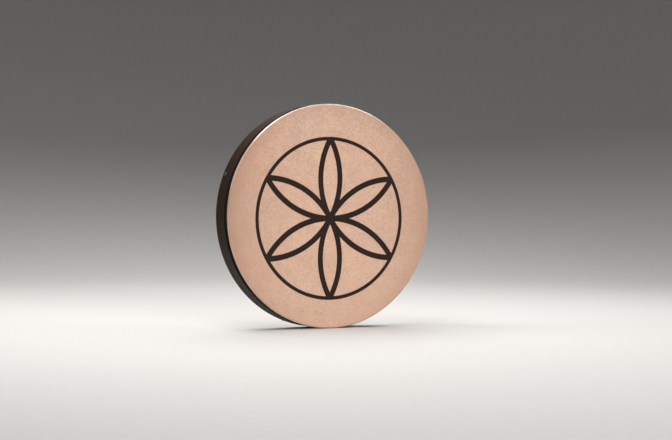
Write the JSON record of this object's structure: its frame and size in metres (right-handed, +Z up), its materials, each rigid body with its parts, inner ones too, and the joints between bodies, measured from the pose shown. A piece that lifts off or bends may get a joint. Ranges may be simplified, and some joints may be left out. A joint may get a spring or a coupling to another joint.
{
  "type": "frame drum",
  "caption": "Single-headed round frame drum: bent wooden hoop, flat skin-look head with a taped edge, and a steel ring grip held by leather straps in the open back.",
  "frame": {"origin": "on the floor under the drum's centre, where the rim stands, midway between the face of the head and the rear rim", "axes": "+Z up, +Y along the drum's axis out of its open back, so the head faces -Y; +X to the right as seen from the head's side"},
  "size_m": [0.4064, 0.054, 0.4064],
  "materials": {
    "hoop_wood": "dark brown stain under satin lacquer, plies showing at the rear edge",
    "head_skin": "tan skin-look film with fine dark speckles and soft blotches, a printed rosette in a ring",
    "trim_tape": "matt black woven tape",
    "strap_leather": "dark brown strap leather with a stitched edge",
    "ring_steel": "nickel plate, lightly worn",
    "bolt_steel": "dark nickel button heads",
    "fitting_steel": "bright zinc plate",
    "rivet_brass": "antique brass caps"
  },
  "bodies": {
    "drum": {"shell_hoop": "hoop_wood", "drum_head": "head_skin", "head_trim_band": "trim_tape", "grip_strap_1": "strap_leather", "loop_rivet_1": "rivet_brass", "strap_bolt_1": "bolt_steel", "bolt_washer_1": "fitting_steel", "cap_nut_1": "fitting_steel", "grip_strap_2": "strap_leather", "loop_rivet_2": "rivet_brass", "strap_bolt_2": "bolt_steel", "bolt_washer_2": "fitting_steel", "cap_nut_2": "fitting_steel", "grip_strap_3": "strap_leather", "loop_rivet_3": "rivet_brass", "strap_bolt_3": "bolt_steel", "bolt_washer_3": "fitting_steel", "cap_nut_3": "fitting_steel", "grip_strap_4": "strap_leather", "loop_rivet_4": "rivet_brass", "strap_bolt_4": "bolt_steel", "bolt_washer_4": "fitting_steel", "cap_nut_4": "fitting_steel"},
    "grip_ring": {"grip_ring": "ring_steel"}
  },
  "joints": [
    {"name": "grip_ring_spin", "type": "hinge", "parent": "drum", "child": "grip_ring", "pos_m": [0, 0.009, 0.2032], "axis": [0, 1, 0], "continuous": true}
  ]
}
